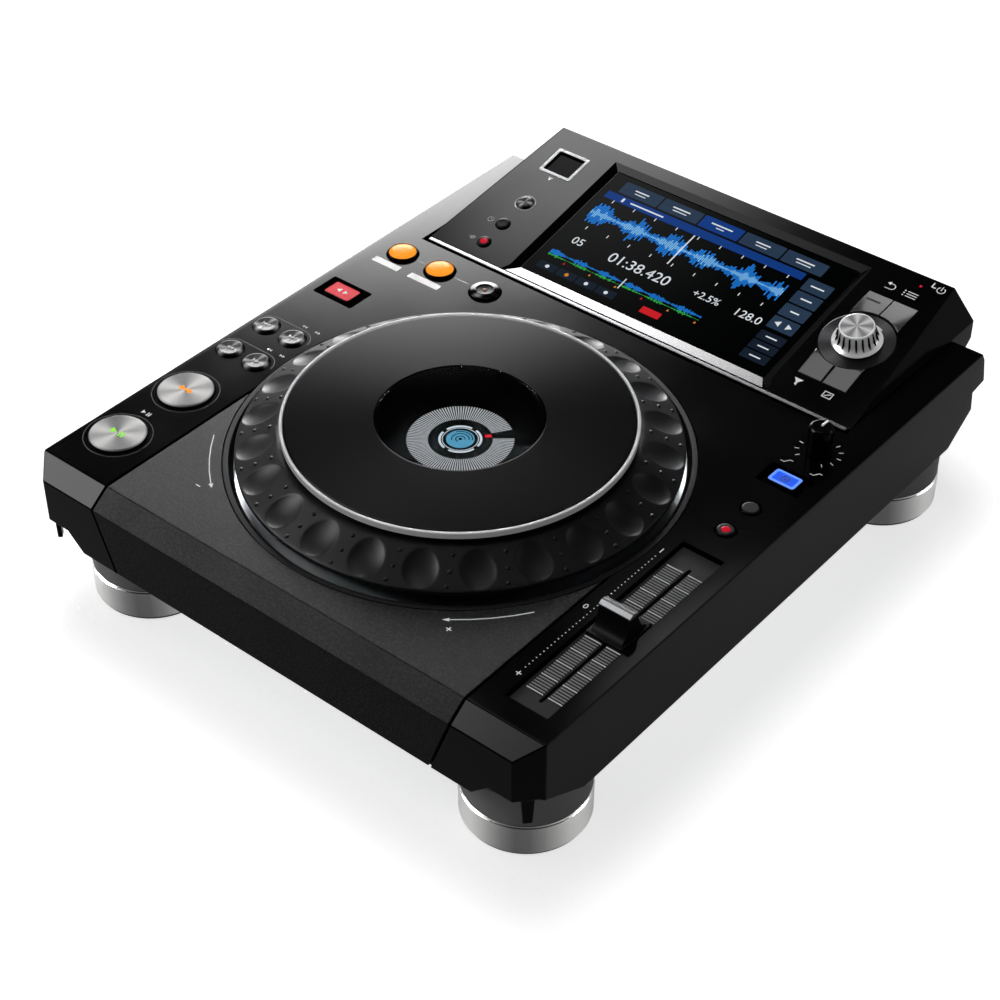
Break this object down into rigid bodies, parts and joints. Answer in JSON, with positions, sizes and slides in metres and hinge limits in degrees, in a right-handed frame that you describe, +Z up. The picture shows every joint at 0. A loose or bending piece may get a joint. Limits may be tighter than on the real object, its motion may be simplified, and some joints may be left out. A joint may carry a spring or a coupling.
{
  "type": "dj multi player",
  "caption": "Tabletop DJ media player: flat black case on four round feet, large turning jog wheel, sloping touch screen, buttons and tempo slider.",
  "frame": {"origin": "on the surface that it stands on, under the middle of its width and length", "axes": "+X to the user's right, +Y to the back, away from the user, +Z up"},
  "size_m": [0.306, 0.3852, 0.1071],
  "materials": {
    "gloss_black": "polished black ABS, piano gloss",
    "textured_black": "spark-textured charcoal ABS",
    "satin_black": "satin black plastic",
    "platter_plastic": "fine matte dark grey plastic",
    "zinc_steel": "zinc-plated pressed steel",
    "aluminium": "satin turned aluminium",
    "chrome": "bright chrome plating",
    "clear_lens": "clear lens over a dark screen",
    "board_green": "solder-masked circuit board",
    "foot_rubber": "matte black rubber",
    "amber_plastic": "lit amber translucent plastic",
    "red_plastic": "lit red translucent plastic",
    "blue_plastic": "lit blue translucent plastic",
    "grey_plastic": "smooth grey plastic"
  },
  "bodies": {
    "root": {"upper_case": "gloss_black", "display_housing": "gloss_black", "jog_bezel": "gloss_black", "front_panel": "textured_black", "bottom_plate": "zinc_steel", "main_board": "board_green", "power_supply": "board_green", "fader_board": "board_green", "rear_panel": "satin_black", "ac_inlet": "satin_black", "audio_jacks": "aluminium", "link_ports": "zinc_steel", "jog_base": "zinc_steel", "jog_bearing": "zinc_steel", "jog_display": "satin_black", "slider_plate": "grey_plastic", "front_bar": "chrome", "display_glass": "clear_lens", "lcd_module": "satin_black", "display_trim": "aluminium", "usb_socket": "grey_plastic", "browse_skirt": "satin_black", "foot_front_left": "foot_rubber", "foot_band_front_left": "aluminium", "foot_front_right": "foot_rubber", "foot_band_front_right": "aluminium", "foot_rear_left": "foot_rubber", "foot_band_rear_left": "aluminium", "foot_rear_right": "foot_rubber", "foot_band_rear_right": "aluminium"},
    "jog": {"jog_platter": "platter_plastic", "jog_top_plate": "satin_black", "jog_ring": "chrome", "jog_window": "clear_lens"},
    "slider": {"slider_cap": "satin_black"},
    "speed_knob": {"speed_knob": "satin_black"},
    "browse_shaft": {"browse_shaft": "zinc_steel"},
    "browse_knob": {"browse_knob": "chrome"},
    "usb_lid": {"usb_lid": "satin_black"},
    "power": {"power_button": "grey_plastic"},
    "loop_in": {"loop_in_button": "amber_plastic"},
    "loop_out": {"loop_out_button": "amber_plastic"},
    "reloop": {"reloop_button": "satin_black"},
    "track_back": {"track_back_button": "satin_black"},
    "track_forward": {"track_forward_button": "satin_black"},
    "search_back": {"search_back_button": "satin_black"},
    "search_forward": {"search_forward_button": "satin_black"},
    "cue": {"cue_button": "aluminium"},
    "play": {"play_button": "aluminium"},
    "tempo_range": {"tempo_range_button": "satin_black"},
    "master_tempo": {"master_tempo_button": "red_plastic"},
    "direction": {"direction_button": "red_plastic"},
    "jog_mode": {"jog_mode_button": "blue_plastic"},
    "usb_stop": {"usb_stop_button": "satin_black"},
    "time_mode": {"time_mode_button": "satin_black"},
    "quantize": {"quantize_button": "red_plastic"},
    "back": {"back_button": "grey_plastic"},
    "tag_track": {"tag_track_button": "grey_plastic"},
    "track_filter": {"track_filter_button": "grey_plastic"},
    "shortcut": {"shortcut_button": "grey_plastic"}
  },
  "joints": [
    {"name": "jog_turn", "type": "hinge", "parent": "root", "child": "jog", "pos_m": [0, -0.056, 0.09], "axis": [0, 0, 1], "continuous": true},
    {"name": "slider_run", "type": "slide", "parent": "root", "child": "slider", "axis": [0, 1, 0], "range_m": [-0.049, 0.048]},
    {"name": "speed_turn", "type": "hinge", "parent": "root", "child": "speed_knob", "pos_m": [0.1325, 0.051, 0.09], "axis": [0, 0, 1], "range_deg": [-140, 140]},
    {"name": "browse_press", "type": "slide", "parent": "root", "child": "browse_shaft", "axis": [0, 0.2134, -0.977], "range_m": [0, 0.0006], "stiffness_N_per_m": 800, "springref_m": -0.001},
    {"name": "browse_turn", "type": "hinge", "parent": "browse_shaft", "child": "browse_knob", "pos_m": [0.10495, 0.12651, 0.09399], "axis": [0, -0.2134, 0.977], "continuous": true},
    {"name": "usb_lid_swing", "type": "hinge", "parent": "root", "child": "usb_lid", "pos_m": [-0.1059, 0.165, 0.10055], "axis": [1, 0, 0], "range_deg": [0, 80], "stiffness_Nm_per_rad": 0.002, "springref_deg": -17.19},
    {"name": "power_press", "type": "slide", "parent": "root", "child": "power", "axis": [0, -1, 0], "range_m": [0, 0.003], "stiffness_N_per_m": 300, "springref_m": -0.001},
    {"name": "loop_in_press", "type": "slide", "parent": "root", "child": "loop_in", "axis": [0, 0, -1], "range_m": [0, 0.0012], "stiffness_N_per_m": 300, "springref_m": -0.0008},
    {"name": "loop_out_press", "type": "slide", "parent": "root", "child": "loop_out", "axis": [0, 0, -1], "range_m": [0, 0.0012], "stiffness_N_per_m": 300, "springref_m": -0.0008},
    {"name": "reloop_press", "type": "slide", "parent": "root", "child": "reloop", "axis": [0, 0, -1], "range_m": [0, 0.0012], "stiffness_N_per_m": 300, "springref_m": -0.0008},
    {"name": "track_back_press", "type": "slide", "parent": "root", "child": "track_back", "axis": [0, 0, -1], "range_m": [0, 0.0012], "stiffness_N_per_m": 300, "springref_m": -0.0008},
    {"name": "track_forward_press", "type": "slide", "parent": "root", "child": "track_forward", "axis": [0, 0, -1], "range_m": [0, 0.0012], "stiffness_N_per_m": 300, "springref_m": -0.0008},
    {"name": "search_back_press", "type": "slide", "parent": "root", "child": "search_back", "axis": [0, 0, -1], "range_m": [0, 0.0012], "stiffness_N_per_m": 300, "springref_m": -0.0008},
    {"name": "search_forward_press", "type": "slide", "parent": "root", "child": "search_forward", "axis": [0, 0, -1], "range_m": [0, 0.0012], "stiffness_N_per_m": 300, "springref_m": -0.0008},
    {"name": "cue_press", "type": "slide", "parent": "root", "child": "cue", "axis": [0, 0, -1], "range_m": [0, 0.0012], "stiffness_N_per_m": 300, "springref_m": -0.0008},
    {"name": "play_press", "type": "slide", "parent": "root", "child": "play", "axis": [0, 0, -1], "range_m": [0, 0.0012], "stiffness_N_per_m": 300, "springref_m": -0.0008},
    {"name": "tempo_range_press", "type": "slide", "parent": "root", "child": "tempo_range", "axis": [0, 0, -1], "range_m": [0, 0.0012], "stiffness_N_per_m": 300, "springref_m": -0.0008},
    {"name": "master_tempo_press", "type": "slide", "parent": "root", "child": "master_tempo", "axis": [0, 0, -1], "range_m": [0, 0.0012], "stiffness_N_per_m": 300, "springref_m": -0.0008},
    {"name": "direction_press", "type": "slide", "parent": "root", "child": "direction", "axis": [0, 0, -1], "range_m": [0, 0.0012], "stiffness_N_per_m": 300, "springref_m": -0.0008},
    {"name": "jog_mode_press", "type": "slide", "parent": "root", "child": "jog_mode", "axis": [0, 0, -1], "range_m": [0, 0.0012], "stiffness_N_per_m": 300, "springref_m": -0.0008},
    {"name": "usb_stop_press", "type": "slide", "parent": "root", "child": "usb_stop", "axis": [0, 0.2134, -0.977], "range_m": [0, 0.0008], "stiffness_N_per_m": 300, "springref_m": -0.0008},
    {"name": "time_mode_press", "type": "slide", "parent": "root", "child": "time_mode", "axis": [0, 0.2134, -0.977], "range_m": [0, 0.0008], "stiffness_N_per_m": 300, "springref_m": -0.0008},
    {"name": "quantize_press", "type": "slide", "parent": "root", "child": "quantize", "axis": [0, 0.2134, -0.977], "range_m": [0, 0.0008], "stiffness_N_per_m": 300, "springref_m": -0.0008},
    {"name": "back_press", "type": "slide", "parent": "root", "child": "back", "axis": [0, 0.2134, -0.977], "range_m": [0, 0.0008], "stiffness_N_per_m": 300, "springref_m": -0.0008},
    {"name": "tag_track_press", "type": "slide", "parent": "root", "child": "tag_track", "axis": [0, 0.2134, -0.977], "range_m": [0, 0.0008], "stiffness_N_per_m": 300, "springref_m": -0.0008},
    {"name": "track_filter_press", "type": "slide", "parent": "root", "child": "track_filter", "axis": [0, 0.2134, -0.977], "range_m": [0, 0.0008], "stiffness_N_per_m": 300, "springref_m": -0.0008},
    {"name": "shortcut_press", "type": "slide", "parent": "root", "child": "shortcut", "axis": [0, 0.2134, -0.977], "range_m": [0, 0.0008], "stiffness_N_per_m": 300, "springref_m": -0.0008}
  ]
}
